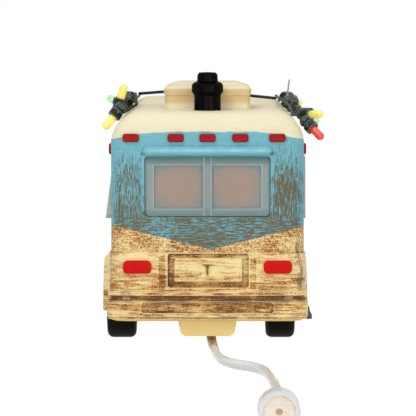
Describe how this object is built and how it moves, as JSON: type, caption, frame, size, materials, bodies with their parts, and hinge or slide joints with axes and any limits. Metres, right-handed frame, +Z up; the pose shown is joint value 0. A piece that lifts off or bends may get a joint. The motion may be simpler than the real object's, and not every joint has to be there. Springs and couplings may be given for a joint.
{
  "type": "lit model motorhome",
  "caption": "Small hand-painted ceramic model of a two-tone motorhome with a roof light string, translucent windows, turning wheels and a clear low-voltage lamp cord.",
  "frame": {"origin": "on the floor, under the middle of the model without its cord", "axes": "+X to the vehicle's right, +Y forward along its length, +Z up"},
  "size_m": [0.0887, 0.397, 0.1069],
  "materials": {
    "painted_ceramic": "satin",
    "cream_ceramic": "satin",
    "cream_plastic": "matte",
    "frosted_plastic": "satin",
    "red_lens": "gloss",
    "amber_lens": "gloss",
    "clear_lens": "gloss",
    "bright_trim": "gloss",
    "black_plastic": "gloss",
    "dark_plastic": "matte",
    "green_plastic": "satin",
    "yellow_bulb": "gloss",
    "green_bulb": "gloss",
    "red_bulb": "gloss",
    "clear_vinyl": "gloss",
    "tyre_black": "matte",
    "steel": "satin"
  },
  "bodies": {
    "shell": {"body_walls": "painted_ceramic", "roof_cap": "cream_ceramic", "base_plate": "cream_plastic", "cord_tab": "cream_plastic", "rear_bumper": "cream_ceramic", "front_bumper": "cream_ceramic", "rear_hatch": "cream_ceramic", "rear_window": "frosted_plastic", "windscreen": "frosted_plastic", "left_windows": "frosted_plastic", "right_windows": "frosted_plastic", "entry_door": "painted_ceramic", "door_window": "frosted_plastic", "door_handle": "bright_trim", "entry_step": "dark_plastic", "tail_lamps": "red_lens", "rear_marker_lamps": "red_lens", "side_marker_lamps": "red_lens", "front_marker_lamps": "amber_lens", "grille": "bright_trim", "headlamp_bezels": "bright_trim", "headlamps": "clear_lens", "turn_lamps": "amber_lens", "mirrors": "bright_trim", "side_vent": "cream_ceramic", "roof_pod": "cream_ceramic", "chimney": "black_plastic", "antenna": "steel", "sockets_left": "green_plastic", "sockets_right": "green_plastic", "bulbs_yellow": "yellow_bulb", "bulbs_green": "green_bulb", "bulbs_red": "red_bulb", "string_wire": "green_plastic", "power_cord": "clear_vinyl", "cord_gland": "clear_vinyl", "cord_connector": "clear_vinyl"},
    "rear_wheelset": {"rear_axle": "steel", "rear_tyres": "tyre_black", "rear_discs": "cream_plastic"},
    "front_wheelset": {"front_axle": "steel", "front_tyres": "tyre_black", "front_discs": "cream_plastic"}
  },
  "joints": [
    {"name": "rear_wheelset_spin", "type": "hinge", "parent": "shell", "child": "rear_wheelset", "pos_m": [0, -0.05798, 0.013], "axis": [1, 0, 0], "continuous": true},
    {"name": "front_wheelset_spin", "type": "hinge", "parent": "shell", "child": "front_wheelset", "pos_m": [0, 0.0599, 0.013], "axis": [1, 0, 0], "continuous": true}
  ]
}
